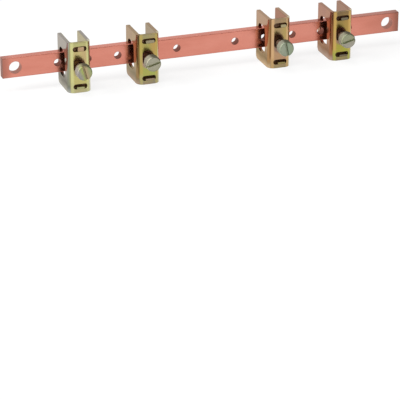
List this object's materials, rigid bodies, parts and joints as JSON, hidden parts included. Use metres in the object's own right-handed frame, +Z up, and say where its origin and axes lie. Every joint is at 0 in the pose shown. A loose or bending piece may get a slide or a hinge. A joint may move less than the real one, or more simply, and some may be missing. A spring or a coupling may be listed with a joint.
{
  "type": "copper busbar with screw clamps",
  "caption": "Flat drilled copper busbar carrying sliding cage clamps with slotted screws, for joining conductors in a distribution box.",
  "frame": {"origin": "midway between the two end fixing holes, on the bar's rear face at mid-height", "axes": "+X along the bar, +Y out of the bar's rear face, +Z up"},
  "size_m": [0.245, 0.0322, 0.03],
  "materials": {
    "copper": "drawn copper, satin",
    "zinc_sheet": "yellow chromated zinc on steel sheet, glossy",
    "zinc_plate": "yellow chromated zinc on steel",
    "zinc_screw": "grey-green zinc plated steel"
  },
  "bodies": {
    "bar": {"busbar": "copper"},
    "clamp_1": {"clamp_cage_1": "zinc_sheet", "threaded_plate_1": "zinc_plate"},
    "screw_1": {"clamp_screw_1": "zinc_screw"},
    "clamp_2": {"clamp_cage_2": "zinc_sheet", "threaded_plate_2": "zinc_plate"},
    "screw_2": {"clamp_screw_2": "zinc_screw"},
    "clamp_3": {"clamp_cage_3": "zinc_sheet", "threaded_plate_3": "zinc_plate"},
    "screw_3": {"clamp_screw_3": "zinc_screw"},
    "clamp_4": {"clamp_cage_4": "zinc_sheet", "threaded_plate_4": "zinc_plate"},
    "screw_4": {"clamp_screw_4": "zinc_screw"}
  },
  "joints": [
    {"name": "clamp_slide_1", "type": "slide", "parent": "bar", "child": "clamp_1", "axis": [1, 0, 0], "range_m": [-0.017, 0.012]},
    {"name": "screw_travel_1", "type": "slide", "parent": "clamp_1", "child": "screw_1", "axis": [0, 1, 0], "range_m": [-0.00235, 0.0044]},
    {"name": "clamp_slide_2", "type": "slide", "parent": "bar", "child": "clamp_2", "axis": [1, 0, 0], "range_m": [-0.012, 0.032]},
    {"name": "screw_travel_2", "type": "slide", "parent": "clamp_2", "child": "screw_2", "axis": [0, 1, 0], "range_m": [-0.00315, 0.0036]},
    {"name": "clamp_slide_3", "type": "slide", "parent": "bar", "child": "clamp_3", "axis": [1, 0, 0], "range_m": [-0.032, 0.012]},
    {"name": "screw_travel_3", "type": "slide", "parent": "clamp_3", "child": "screw_3", "axis": [0, 1, 0], "range_m": [-0.00135, 0.0054]},
    {"name": "clamp_slide_4", "type": "slide", "parent": "bar", "child": "clamp_4", "axis": [1, 0, 0], "range_m": [-0.012, 0.016]},
    {"name": "screw_travel_4", "type": "slide", "parent": "clamp_4", "child": "screw_4", "axis": [0, 1, 0], "range_m": [-0.00245, 0.0043]}
  ]
}
